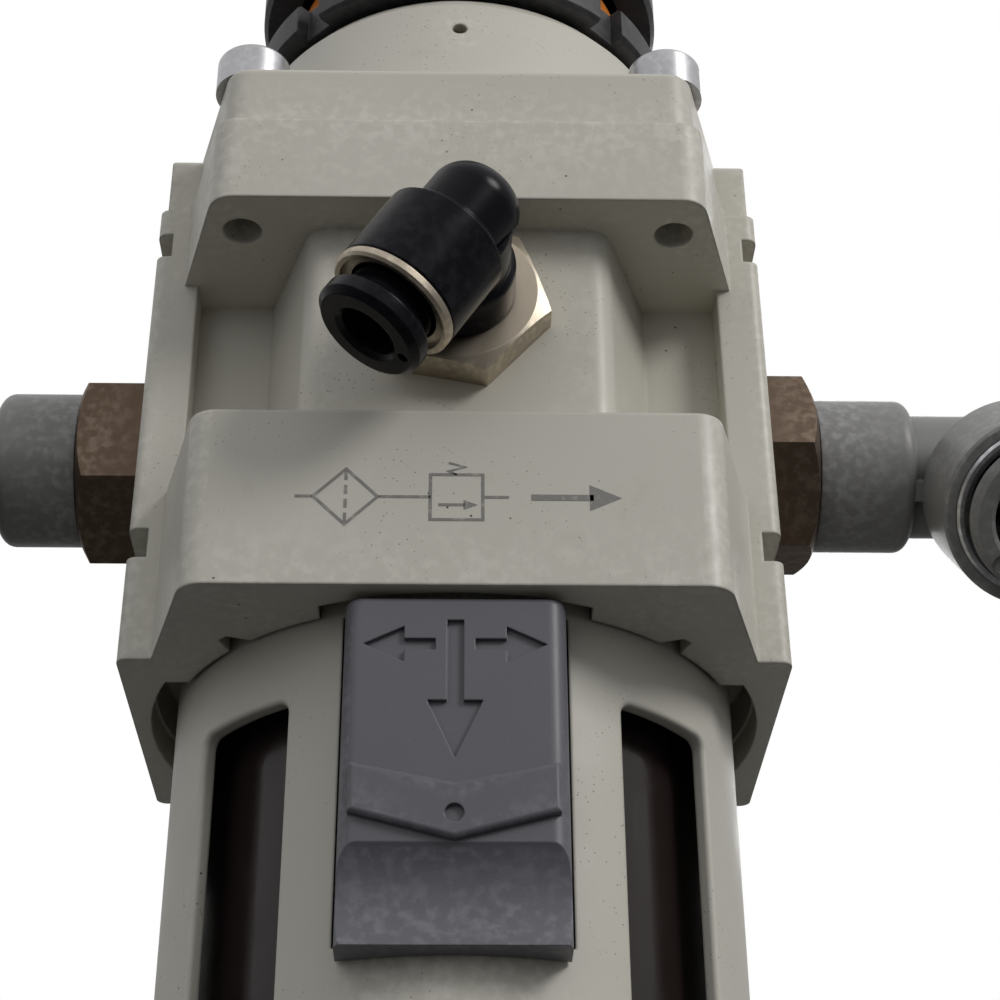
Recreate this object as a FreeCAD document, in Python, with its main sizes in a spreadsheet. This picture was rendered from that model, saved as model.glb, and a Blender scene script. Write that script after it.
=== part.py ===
# Modular filter regulator: die-cast body, spring bonnet with a locking knob, guarded bowl with a
# bayonet and a lock button, and three swivel push-in elbows. Millimetres. The origin is the centre
# of the line through the two main ports: +X runs from inlet to outlet, -Y is the front, +Z is up.
import FreeCAD, Part
import Sketcher

import math
import os
import re

Vector = FreeCAD.Vector
Rotation = FreeCAD.Rotation
Placement = FreeCAD.Placement

DRIVING = {
    # die-cast body
    "body_half_width": 35.0, "body_half_depth": 35.0, "body_bottom": -34.5, "body_top": 24.5,
    "pad_half_depth": 18.8, "pad_lap": 1.5, "block_half_front": 26.65, "block_half_side": 31.3,
    "block_top": -14.4, "flange_bottom": 13.4, "core_half_depth": 14.5, "boss_face": 29.5,
    "boss_half_front": 16.3, "boss_half_root": 21.5, "boss_lap": 2.0, "casting_corner": 3.0,
    "boss_corner": 2.6, "pad_corner": 1.2, "casting_edge": 1.0, "hook_low_from": -22.4,
    "hook_low_to": -18.9, "hook_low_depth": 2.2, "hook_high_from": 17.7, "hook_high_to": 20.9,
    "hook_high_depth": 1.8, "port_bore": 10.2, "port_depth": 18.5, "gauge_across": -0.2,
    "gauge_height": 2.3, "gauge_bore": 6.4, "gauge_depth": 12.0, "screw_across": 23.9,
    "screw_along": 28.95, "screw_hole": 2.15, "screw_shank": 2.1,
    # passages inside the body
    "sense_hole": 1.2, "sense_height": 6.5, "sense_depth": 20.0, "inlet_passage": 4.8,
    "inlet_passage_across": -22.0, "outlet_passage": 3.4, "outlet_passage_height": 7.6,
    "outlet_passage_from": 20.0, "outlet_passage_length": 11.0,
    # bowl opening and bayonet
    "opening_radius": 31.0, "ledge_top": -31.5, "groove_radius": 33.0, "groove_top": -26.5,
    "pocket_radius": 33.3, "pocket_half_width": 13.5, "notch_half_root": 2.6, "notch_half_tip": 0.6,
    "seal_bore": 27.3, "seal_bore_top": -17.5, "hub_radius": 14.0, "hub_bottom": -24.0,
    "valve_bore": 9.0, "seat_radius": 6.0, "seat_top": 4.0, "upper_chamber": 13.0, "sense_floor": 16.5,
    "sense_radius": 22.0, "diaphragm_seat": 23.0, "diaphragm_recess": 27.2,
    # bonnet and its screws
    "bonnet_inset": 0.8, "bonnet_flange": 8.5, "dome_radius": 28.5, "dome_shoulder": 36.0,
    "dome_top": 50.5, "dome_top_radius": 26.4, "neck_radius": 21.0, "neck_from": 53.4, "neck_top": 68.0,
    "spring_chamber": 19.0, "spring_mouth": 24.0, "spring_chamber_top": 60.0, "key_slot_reach": 20.6,
    "key_half_width": 2.5, "key_slot_from": 35.0, "key_slot_length": 17.0, "vent_radius": 0.9,
    "vent_height": 46.0, "vent_depth": 14.0, "head_radius": 4.2, "head_bottom": 33.0, "head_top": 37.6,
    "head_round": 0.5, "shank_bottom": 17.0, "socket_half_flats": 2.0, "socket_depth": 2.4,
    # knob, locking teeth and adjusting screw
    "screw_radius": 5.0, "screw_clearance": 0.05, "screw_bottom": 33.0, "screw_flange": 8.5,
    "screw_flange_from": 60.2, "screw_flange_to": 62.4, "drive_half_flats": 4.0, "drive_from": 70.0,
    "drive_top": 98.0, "drive_socket": 29.0, "washer_radius": 8.6, "washer_to": 63.3,
    "knob_radius": 26.0, "knob_top": 112.0, "knob_bottom": 69.0, "knob_ceiling": 90.0,
    "skirt_inside": 22.2, "skirt_lip": 0.6, "hub_tip": 73.7, "knob_hub": 7.5, "clutch_inside": 11.5,
    "clutch_outside": 16.5, "flute_radius": 1.25, "cap_radius": 16.8, "cap_recess": 1.6,
    "tooth_height": 2.0, "tooth_from": 12.0, "tooth_to": 16.0, "tooth_half_width": 1.2,
    "tooth_root": 0.5, "marker_from": 64.8, "marker_to": 66.9, "marker_thickness": 0.7,
    "nut_from": 54.0, "nut_to": 59.0, "nut_radius": 27.0, "nut_notch_half": 2.0, "seat_nut_from": 42.0,
    "seat_nut_step": 46.0, "seat_nut_to": 50.0, "seat_nut_hub": 11.0, "seat_nut_radius": 16.5,
    "seat_ear_reach": 20.2, "seat_ear_half_width": 2.1,
    # diaphragm, valve and filter
    "clamp_radius": 16.0, "plate_radius": 15.5, "plate_top": 26.0, "plate_hub": 11.0,
    "plate_hub_top": 28.5, "plate_stud": 3.0, "lower_hub_bottom": 19.6, "lower_plate_bottom": 21.0,
    "stem_radius": 1.8, "stem_top": 19.5, "poppet_radius": 7.6, "poppet_back": -7.0, "poppet_top": -1.6,
    "spigot_radius": 3.0, "spigot_bottom": -15.0, "seal_top": -0.05, "guide_radius": 13.4,
    "guide_bottom": -27.0, "guide_top": -13.5, "guide_plug": 8.95, "post_radius": 2.95,
    "post_top": -21.4, "guide_hole": 1.5, "guide_hole_across": 5.7, "guide_o_ring": 0.56,
    "deflector_radius": 16.0, "deflector_bottom": -26.5, "deflector_top": -19.0, "vane_reach": 23.1,
    "vane_sweep": 3.2, "vane_thickness": 1.3, "filter_inside": 11.0, "filter_outside": 17.0,
    "filter_bottom": -78.0, "baffle_radius": 22.2, "baffle_bottom": -87.0, "retainer_tip": 5.0,
    # bowl, guard, button and drain
    "bowl_radius": 26.2, "bowl_inside": 23.7, "bowl_flange": 27.4, "bowl_spigot": 26.8,
    "bowl_shoulder": -30.5, "bowl_top": -18.2, "bowl_wall_bottom": -110.0, "bowl_bottom": -127.0,
    "bowl_outlet": 5.2, "bowl_dish_low": 12.0, "bowl_dish_middle": 19.0, "bowl_dish_high": 24.0,
    "bowl_dish_round": 4.0, "bowl_seal": 0.9, "guard_radius": 30.5, "guard_inside": 29.0,
    "guard_top": -27.0, "guard_lip": 26.6, "guard_wall_bottom": -111.0, "guard_bottom": -131.5,
    "drain_hole": 10.0, "guard_dish_low": 16.0, "guard_dish_middle": 23.0, "guard_dish_high": 28.4,
    "guard_dish_round": 5.0, "lug_radius": 32.7, "lug_half_width": 11.0, "lug_root": 27.9,
    "lug_top": -27.3, "lug_bottom": -31.2, "window_half_width": 6.2, "window_top": -42.4,
    "window_bottom": -97.0, "window_angle": 44.6, "window_from": 15.0, "window_length": 30.0,
    "window_corner": 1.3, "window_rim": 0.5, "button_half_width": 10.7, "button_face": 34.0,
    "button_top": -35.2, "button_bottom": -64.0, "button_back": 26.7, "button_travel": 4.0,
    "button_root": 20.0, "button_gap": 0.4, "button_corner": 1.8, "button_edge": 0.8,
    "lip_half_width": 12.4, "lip_clearance": 0.3, "lip_length": 24.0, "apron_bottom": -70.0,
    "pad_half": 9.8, "pad_side_top": -52.9, "pad_tip_top": -54.9, "pad_side_bottom": -57.8,
    "pad_tip_bottom": -60.4, "pad_height": 0.9, "pad_sunk": 0.4, "pad_edge": 0.5, "mark_depth": 0.5,
    "scoop_radius": 9.0, "scoop_behind": 7.4, "scoop_height": -65.6, "scoop_half_length": 15.0,
    "dimple_radius": 0.9, "dimple_height": -58.0, "dimple_depth": 0.4, "spring_hole": 1.2,
    "spring_across": 7.0, "spring_along": -28.7, "spring_hole_depth": 8.0, "drain_radius": 9.6,
    "drain_top": -121.0, "drain_ledge": -131.8, "drain_foot": -138.4, "drain_bore": 3.06,
    "drain_neck": 5.1, "drain_collar": 8.5, "cock_radius": 9.2, "cock_tip": -150.0,
    "cock_wing_from": -146.5, "cock_wing_to": -138.7, "cock_stem": 3.0, "cock_duct": 1.2,
    "cock_top": -123.0, "cock_spout": 3.5, "cock_flute": 1.1, "cock_seal": 0.3, "plug_length": 10.0,
    "plug_half_flats": 3.0, "plug_socket": 4.5,
}

INLET_ELBOW = {
    "thread": 10.15, "thread_length": 14.0, "bore": 4.8, "half_flats": 10.5, "hex_height": 8.6,
    "barrel": 7.4, "barrel_top": 15.0, "leg": 9.1, "leg_from": 8.9, "leg_to": 18.6, "shoulder": 1.5,
    "neck": 7.35, "rib_length": 3.4, "rib_half_width": 1.2, "axis_height": 30.0, "back": -8.0,
    "back_round": 4.5, "socket": 10.9, "socket_from": 7.0, "socket_to": 19.5, "cavity": 8.0,
    "cavity_from": 8.6, "ring": 9.6, "ring_from": 17.2, "ring_to": 20.0, "ring_lip": 0.8, "tube": 6.1,
    "neck_of_collar": 7.2, "flange": 8.7, "flange_from": 21.4, "flange_to": 23.4, "dimple": 1.0,
    "dimple_turn": 45.0,
}
FRONT_ELBOW = {
    "thread": 6.35, "thread_length": 10.0, "bore": 2.6, "half_flats": 9.0, "hex_height": 3.8,
    "barrel": 4.3, "barrel_top": 8.0, "leg": 6.3, "leg_from": 4.1, "leg_to": 9.2, "shoulder": 1.2,
    "neck": 5.7, "rib_length": 2.6, "rib_half_width": 0.9, "axis_height": 14.5, "back": -6.4,
    "back_round": 3.4, "socket": 6.9, "socket_from": 1.2, "socket_to": 11.1, "cavity": 5.5,
    "cavity_from": 3.3, "ring": 6.9, "ring_from": 11.1, "ring_to": 12.1, "ring_lip": 0.8, "tube": 3.1,
    "neck_of_collar": 4.75, "flange": 6.05, "flange_from": 13.8, "flange_to": 16.4, "dimple": 0.6,
    "dimple_turn": 85.0,
}
# the outlet's stud is screwed in further than the inlet's
ELBOWS = {"inlet": INLET_ELBOW, "outlet": dict(INLET_ELBOW, hex_height=6.9, leg_from=7.2),
          "front": FRONT_ELBOW}
SHELL_STEP = 0.6
DRIVING["shell_step"] = SHELL_STEP
for kind, part in ELBOWS.items():
    DRIVING.update({f"{kind}_{name}": value for name, value in part.items() if isinstance(value, float)})

# springs: coil radius, wire radius, pitch, length
REGULATING_SPRING = (13.2, 1.3, 5.0, 17.4)
VALVE_SPRING = (5.0, 0.45, 1.9, 5.5)
BUTTON_SPRING = (0.75, 0.2, 1.3, 11.9)
TOOTH_COUNT = 12
FLUTE_COUNT = 40
NUT_NOTCH_COUNT = 8
GUIDE_HOLE_COUNT = 6
VANE_COUNT = 12
COCK_FLUTE_COUNT = 16
# how far a hexagon's corners are chamfered down for each millimetre inwards
CHAMFER_SLOPE = 0.55
# arrows on the lock button: tip, base of the head, half widths of head and shaft, tail
DOWN_ARROW = (-52.2, -46.3, 2.65, 0.8, -37.8)
SIDE_ARROW = (8.8, 4.9, 1.9, 0.6, 1.9)
SIDE_ARROW_HEIGHT = -40.4
# two positions closer than this are taken as the same
NEAR = 0.02

document = FreeCAD.newDocument("FilterRegulator")
sheet = document.addObject("Spreadsheet::Sheet", "Sizes")
for row, (alias, value) in enumerate(DRIVING.items(), start=1):
    sheet.set(f"A{row}", alias)
    sheet.set(f"B{row}", str(value))
    sheet.setAlias(f"B{row}", alias)
document.recompute()

sub_parts = []


# ---------------------------------------------------------------- helpers
def in_sheet(text):
    """An expression in which each size's plain name is written as that cell of the sheet."""
    def named(found):
        name = found.group(0)
        return f"Sizes.{name}" if name in DRIVING else name
    return re.sub(r"[a-z][a-z_]*[a-z]", named, str(text))


def bind(thing, name, text):
    thing.setExpression(name, in_sheet(text))


def new_body(label, place=None):
    body = document.addObject("PartDesign::Body", label)
    body.Label = label
    if place is not None:
        body.Placement = place
    sub_parts.append(body)
    return body


def origin_item(body, role):
    return next(item for item in body.Origin.OriginFeatures if item.Role == role)


def new_sketch(body, role, offset="0", turn=0.0):
    """A sketch on one of the body's own planes, moved along its normal and turned about +Z."""
    drawing = body.newObject("Sketcher::SketchObject", f"{body.Label}_sketch")
    drawing.AttachmentSupport = [(origin_item(body, role), "")]
    drawing.MapMode = "FlatFace"
    axis = Vector(0, 0, 1) if role == "XY_Plane" else Vector(0, 1, 0)
    drawing.AttachmentOffset = Placement(Vector(0, 0, 0), Rotation(axis, turn))
    if offset != "0":
        lean = 0.0 if role == "XY_Plane" else math.radians(turn)
        bind(drawing, "AttachmentOffset.Base.z", f"({offset}) * {math.cos(lean):.9f}")
        bind(drawing, "AttachmentOffset.Base.x", f"({offset}) * {math.sin(lean):.9f}")
    return drawing


def outline(drawing, points):
    """A closed outline of straight lines, with both coordinates of each corner bound to the sheet."""
    first = drawing.GeometryCount
    count = len(points)
    rough = [Vector(20 * math.cos(2 * math.pi * k / count), 20 * math.sin(2 * math.pi * k / count), 0)
             for k in range(count)]
    for k in range(count):
        drawing.addGeometry(Part.LineSegment(rough[k], rough[(k + 1) % count]), False)
    for k in range(count):
        drawing.addConstraint(Sketcher.Constraint("Coincident", first + k, 2, first + (k + 1) % count, 1))
    for k, (across, up) in enumerate(points):
        for kind, text, start in (("DistanceX", across, rough[k].x), ("DistanceY", up, rough[k].y)):
            index = drawing.addConstraint(Sketcher.Constraint(kind, -1, 1, first + k, 1, start))
            bind(drawing, f"Constraints[{index}]", text)
    return drawing


def circle(drawing, radius, across="0", up="0"):
    index = drawing.addGeometry(Part.Circle(Vector(1, 1, 0), Vector(0, 0, 1), 1.0), False)
    size = drawing.addConstraint(Sketcher.Constraint("Radius", index, 1.0))
    bind(drawing, f"Constraints[{size}]", radius)
    for kind, text in (("DistanceX", across), ("DistanceY", up)):
        size = drawing.addConstraint(Sketcher.Constraint(kind, -1, 1, index, 3, 1.0))
        bind(drawing, f"Constraints[{size}]", text)
    return drawing


def rectangle(drawing, left, bottom, right, top):
    return outline(drawing, [(left, bottom), (right, bottom), (right, top), (left, top)])


def feature(body, kind, drawing, length=None, reverse=False, axis=None):
    made = body.newObject(f"PartDesign::{kind}", f"{body.Label}_{kind.lower()}")
    made.Profile = drawing
    if length is not None:
        bind(made, "Length", length)
    if axis is not None:
        made.ReferenceAxis = (drawing, [axis])
        made.Angle = 360.0
    made.Reversed = reverse
    drawing.Visibility = False
    return made


def pad(body, drawing, length, reverse=False):
    return feature(body, "Pad", drawing, length=length, reverse=reverse)


def pocket(body, drawing, length, reverse=False):
    """A cut into the material behind the sketch's face, or in front of it if reversed."""
    document.recompute()
    before = body.Shape.Volume
    made = feature(body, "Pocket", drawing, length=length, reverse=reverse)
    document.recompute()
    if body.Shape.Volume > before - 1e-4:
        raise RuntimeError(f"{made.Name} cuts nothing")
    return made


def turned(body, points, axis="V_Axis", role="XZ_Plane", offset="0"):
    """A solid of revolution about +Z: points are (radius, height) pairs."""
    return feature(body, "Revolution", outline(new_sketch(body, role, offset), points), axis=axis)


def turned_cut(body, points, axis="V_Axis", role="XZ_Plane", offset="0"):
    document.recompute()
    before = body.Shape.Volume
    made = feature(body, "Groove", outline(new_sketch(body, role, offset), points), axis=axis)
    document.recompute()
    if body.Shape.Volume > before - 1e-4:
        raise RuntimeError(f"{made.Name} cuts nothing")
    return made


def around(body, original, count):
    """Repeat a feature evenly about the body's +Z axis."""
    pattern = body.newObject("PartDesign::PolarPattern", f"{body.Label}_pattern")
    pattern.Originals = [original]
    pattern.Axis = (origin_item(body, "Z_Axis"), [""])
    pattern.Angle = 360.0
    pattern.Occurrences = count
    body.Tip = pattern
    return pattern


def round_edges(body, radius, wanted, kind="Fillet"):
    """Round, or chamfer, each edge for which wanted(edge, middle point) is true."""
    document.recompute()
    base = body.Tip
    names = []
    for k, edge in enumerate(base.Shape.Edges, start=1):
        middle = edge.valueAt((edge.FirstParameter + edge.LastParameter) / 2)
        if wanted(edge, middle):
            names.append(f"Edge{k}")
    if not names:
        raise RuntimeError(f"{body.Label}: no edge to round")
    made = body.newObject(f"PartDesign::{kind}", f"{body.Label}_{kind.lower()}")
    made.Base = (base, names)
    bind(made, "Radius" if kind == "Fillet" else "Size", radius)
    document.recompute()
    return made


def upright(edge):
    if not isinstance(edge.Curve, Part.Line):
        return False
    return abs(edge.tangentAt(edge.FirstParameter).z) > 0.999


def is_at(value, name):
    return abs(value - DRIVING[name]) < NEAR


def level_circle(edge, radius, height):
    if not isinstance(edge.Curve, Part.Circle):
        return False
    return abs(edge.Curve.Radius - radius) < NEAR and abs(edge.Curve.Center.z - height) < NEAR


def simple_turned(label, points, place=None):
    body = new_body(label, place)
    turned(body, points)
    return body


def collar(label, inside, outside, low, high):
    """A plain ring about +Z."""
    return simple_turned(label, [(inside, low), (outside, low), (outside, high), (inside, high)])


def ring_of_rubber(label, ring_radius, section_radius, height, place=None):
    torus = document.addObject("Part::Torus", label)
    torus.Label = label
    bind(torus, "Radius1", ring_radius)
    bind(torus, "Radius2", section_radius)
    base = place if place is not None else Placement()
    torus.Placement = base.multiply(Placement(Vector(0, 0, height), Rotation()))
    sub_parts.append(torus)
    return torus


def coil(label, spring, centres):
    """Compression springs, one solid at each centre, made by sweeping the wire along a helix."""
    coil_radius, wire_radius, pitch, length = spring
    springs = []
    for centre in centres:
        spine = Part.makeLongHelix(pitch, length, coil_radius)
        start = Vector(coil_radius, 0, 0)
        section = Part.Wire([Part.makeCircle(wire_radius, start, Vector(0, 1, 0))])
        wire = Part.Wire(spine.Edges).makePipeShell([section], True, True)
        wire.translate(Vector(*centre) + Vector(0, 0, wire_radius))
        springs.append(wire)
    holder = document.addObject("Part::Feature", label)
    holder.Label = label
    holder.Shape = Part.makeCompound(springs) if len(springs) > 1 else springs[0]
    sub_parts.append(holder)
    return holder


def sector(drawing, inner, outer_radius, half_width):
    """A straight-sided shape along +X whose far end is an arc about the axis."""
    reach = 40.0
    half = 10.0
    far = math.sqrt(reach * reach - half * half)
    start = drawing.GeometryCount
    drawing.addGeometry(Part.LineSegment(Vector(20, -half, 0), Vector(far, -half, 0)), False)
    arc = Part.ArcOfCircle(Part.Circle(Vector(0, 0, 0), Vector(0, 0, 1), reach),
                           -math.asin(half / reach), math.asin(half / reach))
    drawing.addGeometry(arc, False)
    drawing.addGeometry(Part.LineSegment(Vector(far, half, 0), Vector(20, half, 0)), False)
    drawing.addGeometry(Part.LineSegment(Vector(20, half, 0), Vector(20, -half, 0)), False)
    drawing.addConstraint([
        Sketcher.Constraint("Coincident", start, 2, start + 1, 1),
        Sketcher.Constraint("Coincident", start + 1, 2, start + 2, 1),
        Sketcher.Constraint("Coincident", start + 2, 2, start + 3, 1),
        Sketcher.Constraint("Coincident", start + 3, 2, start, 1),
        Sketcher.Constraint("Coincident", start + 1, 3, -1, 1),
        Sketcher.Constraint("Horizontal", start),
        Sketcher.Constraint("Horizontal", start + 2),
        Sketcher.Constraint("Vertical", start + 3),
    ])
    index = drawing.addConstraint(Sketcher.Constraint("Radius", start + 1, reach))
    bind(drawing, f"Constraints[{index}]", outer_radius)
    for kind, point, text, value in (("DistanceX", start, inner, 20.0),
                                     ("DistanceY", start, f"-({half_width})", -half),
                                     ("DistanceY", start + 2, half_width, half)):
        which = 1 if point == start else 2
        index = drawing.addConstraint(Sketcher.Constraint(kind, -1, 1, point, which, value))
        bind(drawing, f"Constraints[{index}]", text)
    return drawing


def hexagon(drawing, half_across_flats, turn=0.0):
    corner = f"({half_across_flats}) / {math.cos(math.pi / 6):.6f}"
    return outline(drawing, [(f"{corner} * {math.cos(turn + k * math.pi / 3):.6f}",
                              f"{corner} * {math.sin(turn + k * math.pi / 3):.6f}") for k in range(6)])


def block_plan(inset):
    """The plan of the body's front and rear blocks: straight front, sides that slant outwards."""
    front = f"body_half_depth - {inset}"
    narrow = f"block_half_front - {inset}"
    wide = f"block_half_side - {inset}"
    return [(f"-({narrow})", f"-({front})"), (narrow, f"-({front})"), (wide, "-pad_half_depth"),
            (wide, "pad_half_depth"), (narrow, front), (f"-({narrow})", front),
            (f"-({wide})", "pad_half_depth"), (f"-({wide})", "-pad_half_depth")]


# ---------------------------------------------------------------- die-cast body
def make_body():
    body = new_body("body")
    pad(body, outline(new_sketch(body, "XY_Plane", "body_bottom"), block_plan("0")),
        "block_top - body_bottom")
    pad(body, outline(new_sketch(body, "XY_Plane", "flange_bottom"), block_plan("0")),
        "body_top - flange_bottom")
    round_edges(body, "casting_corner", lambda edge,
                at: upright(edge) and is_at(abs(at.y), "body_half_depth"))
    core = rectangle(new_sketch(body, "XY_Plane", "body_bottom"), "-block_half_side", "-core_half_depth",
                     "block_half_side", "core_half_depth")
    pad(body, core, "body_top - body_bottom")
    for side in (-1, 1):
        pad(body, boss_plan(body, side), "flange_bottom - block_top + 2 * boss_lap")
    round_edges(body, "boss_corner", lambda edge, at: upright(edge) and is_at(abs(at.y), "boss_face"))
    for side in (-1, 1):
        strip = rectangle(new_sketch(body, "XY_Plane", "body_bottom"),
                          f"{side} * (block_half_side - pad_lap)",
                          "-pad_half_depth", f"{side} * body_half_width", "pad_half_depth")
        pad(body, strip, "body_top - body_bottom")
    round_edges(body, "pad_corner", lambda edge, at: upright(edge) and is_at(abs(at.x), "body_half_width"))
    cut_bowl_opening(body)
    cut_ports(body)
    return body


def boss_plan(body, side):
    """The plan of the gauge boss: it widens from its face to the core of the body."""
    root = f"{side} * core_half_depth"
    face = f"{side} * boss_face"
    return outline(new_sketch(body, "XY_Plane", "block_top - boss_lap"),
                   [("-boss_half_root", root), ("-boss_half_front", face), ("boss_half_front", face),
                    ("boss_half_root", root), ("boss_half_front", "0"), ("-boss_half_front", "0")])


def cut_bowl_opening(body):
    """The bores about +Z, from the bowl's opening up to the diaphragm, and the bayonet's entries."""
    turned_cut(body, [("0", "body_bottom - 2"), ("opening_radius", "body_bottom - 2"),
                      ("opening_radius", "ledge_top"), ("groove_radius", "ledge_top"),
                      ("groove_radius", "groove_top"), ("seal_bore", "groove_top"),
                      ("seal_bore", "seal_bore_top"), ("hub_radius", "seal_bore_top"),
                      ("hub_radius", "hub_bottom"), ("valve_bore", "hub_bottom"), ("valve_bore", "0"),
                      ("seat_radius", "0"), ("seat_radius", "seat_top"), ("upper_chamber", "seat_top"),
                      ("upper_chamber", "sense_floor"), ("sense_radius", "sense_floor"),
                      ("sense_radius", "diaphragm_seat"), ("diaphragm_recess", "diaphragm_seat"),
                      ("diaphragm_recess", "body_top + 2"), ("0", "body_top + 2")])
    entry = sector(new_sketch(body, "XY_Plane", "body_bottom - 1"), "opening_radius - 3",
                   "pocket_radius", "pocket_half_width")
    around(body, pocket(body, entry, "ledge_top - body_bottom + 1.5", reverse=True), 4)
    notch = outline(new_sketch(body, "XY_Plane", "body_bottom - 1", turn=45.0),
                    [("opening_radius - 2", "-notch_half_root"), ("pocket_radius", "-notch_half_tip"),
                     ("pocket_radius", "notch_half_tip"), ("opening_radius - 2", "notch_half_root")])
    around(body, pocket(body, notch, "ledge_top - body_bottom - 0.5", reverse=True), 4)


def cut_ports(body):
    """Hook grooves, main ports, gauge ports, inner passages and the bonnet's screw holes."""
    for side in (-1, 1):
        reach = f"{side} * (body_half_width + 1)"
        for level in ("low", "high"):
            groove = rectangle(new_sketch(body, "XZ_Plane", "-body_half_depth - 1"),
                               f"{side} * (body_half_width - hook_{level}_depth)", f"hook_{level}_from",
                               reach, f"hook_{level}_to")
            pocket(body, groove, "2 * body_half_depth + 2", reverse=True)
        port = circle(new_sketch(body, "YZ_Plane", f"{side} * body_half_width"), "port_bore")
        pocket(body, port, "port_depth", reverse=side < 0)
        gauge = circle(new_sketch(body, "XZ_Plane", f"{side} * boss_face"), "gauge_bore",
                       across="gauge_across", up="gauge_height")
        pocket(body, gauge, "gauge_depth", reverse=side < 0)
    pocket(body, circle(new_sketch(body, "XZ_Plane", "sense_depth"), "sense_hole", up="sense_height"),
           "2 * sense_depth")
    pocket(body, circle(new_sketch(body, "XY_Plane", "0"), "inlet_passage", across="inlet_passage_across"),
           "1 - seal_bore_top")
    pocket(body, circle(new_sketch(body, "YZ_Plane", "outlet_passage_from"), "outlet_passage",
                        up="outlet_passage_height"), "outlet_passage_length")
    pocket(body, screw_circles(body, "screw_hole"), "body_top - flange_bottom + 1")


def screw_circles(body, radius):
    """The pattern of the bonnet's four screws, on the joint between body and bonnet."""
    screws = new_sketch(body, "XY_Plane", "body_top")
    for across in ("-screw_across", "screw_across"):
        for along in ("-screw_along", "screw_along"):
            circle(screws, radius, across, along)
    return screws


# ---------------------------------------------------------------- bonnet, knob and adjuster
def make_bonnet():
    body = new_body("bonnet")
    pad(body, outline(new_sketch(body, "XY_Plane", "body_top"), block_plan("bonnet_inset")), "bonnet_flange")
    for side in (-1, 1):
        strip = rectangle(new_sketch(body, "XY_Plane", "body_top"), f"{side} * (block_half_side - 2)",
                          "bonnet_inset - pad_half_depth", f"{side} * (body_half_width - bonnet_inset)",
                          "pad_half_depth - bonnet_inset")
        pad(body, strip, "bonnet_flange")
    front = DRIVING["body_half_depth"] - DRIVING["bonnet_inset"]
    flange_top = DRIVING["body_top"] + DRIVING["bonnet_flange"]
    round_edges(body, "casting_corner", lambda edge, at: upright(edge) and abs(abs(at.y) - front) < NEAR)
    round_edges(body, "casting_edge", lambda edge, at: abs(at.z - flange_top) < NEAR)
    turned(body, [("0", "body_top + 1"), ("dome_radius", "body_top + 1"), ("dome_radius", "dome_shoulder"),
                  ("dome_top_radius", "dome_top"), ("dome_top_radius - 1.8", "dome_top + 2.5"),
                  ("neck_radius", "neck_from"), ("neck_radius", "neck_top - 0.8"),
                  ("neck_radius - 0.8", "neck_top"), ("0", "neck_top")])
    turned_cut(body, [("0", "body_top - 1"), ("spring_mouth", "body_top - 1"),
                      ("spring_mouth", "body_top + 3"),
                      ("spring_chamber", "body_top + 6.5"), ("spring_chamber", "spring_chamber_top"),
                      ("screw_flange + 0.5", "spring_chamber_top"), ("screw_flange + 0.5", "washer_to"),
                      ("screw_radius + screw_clearance", "washer_to"),
                      ("screw_radius + screw_clearance", "neck_top + 1"), ("0", "neck_top + 1")])
    slot = rectangle(new_sketch(body, "XY_Plane", "key_slot_from"), "spring_chamber - 1", "-key_half_width",
                     "key_slot_reach", "key_half_width")
    around(body, pocket(body, slot, "key_slot_length", reverse=True), 2)
    tooth = rectangle(new_sketch(body, "XY_Plane", "neck_top - tooth_root"), "tooth_from",
                      "-tooth_half_width",
                      "tooth_to", "tooth_half_width")
    around(body, pad(body, tooth, "tooth_height + tooth_root"), TOOTH_COUNT)
    pocket(body, screw_circles(body, "screw_shank + 0.6"), "bonnet_flange + 0.5", reverse=True)
    pocket(body, circle(new_sketch(body, "XZ_Plane", "dome_radius + 1.5"), "vent_radius", up="vent_height"),
           "vent_depth")
    return body


def make_bonnet_screws():
    """Four cap screws: a turned head and shank with a hexagon socket, copied to the corners."""
    radius, bottom, top = DRIVING["head_radius"], DRIVING["head_bottom"], DRIVING["head_top"]
    head = Part.makeCylinder(radius, top - bottom, Vector(0, 0, bottom))
    head = head.makeFillet(DRIVING["head_round"],
                           [edge for edge in head.Edges if level_circle(edge, radius, top)])
    tip = DRIVING["shank_bottom"]
    shank = Part.makeCylinder(DRIVING["screw_shank"], bottom - tip, Vector(0, 0, tip))
    corner = DRIVING["socket_half_flats"] / math.cos(math.pi / 6)
    depth = DRIVING["socket_depth"]
    ring = [Vector(corner * math.cos(k * math.pi / 3), corner * math.sin(k * math.pi / 3), top - depth)
            for k in range(7)]
    socket = Part.Face(Part.makePolygon(ring)).extrude(Vector(0, 0, depth + 1))
    one = head.fuse(shank).cut(socket).removeSplitter()
    copies = []
    for across in (-1, 1):
        for along in (-1, 1):
            copy = one.copy()
            copy.translate(Vector(across * DRIVING["screw_across"], along * DRIVING["screw_along"], 0))
            copies.append(copy)
    holder = document.addObject("Part::Feature", "bonnet_screws")
    holder.Label = "bonnet_screws"
    holder.Shape = Part.makeCompound(copies)
    sub_parts.append(holder)


def make_panel_nut():
    body = new_body("panel_nut")
    bore = "neck_radius + 0.05"
    turned(body, [(bore, "nut_from"), ("nut_radius - 0.5", "nut_from"), ("nut_radius", "nut_from + 0.5"),
                  ("nut_radius", "nut_to - 0.5"), ("nut_radius - 0.5", "nut_to"), (bore, "nut_to")])
    notch = rectangle(new_sketch(body, "XY_Plane", "nut_from - 1"), "nut_radius - 2", "-nut_notch_half",
                      "nut_radius + 3", "nut_notch_half")
    around(body, pocket(body, notch, "nut_to - nut_from + 2", reverse=True), NUT_NOTCH_COUNT)


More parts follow.
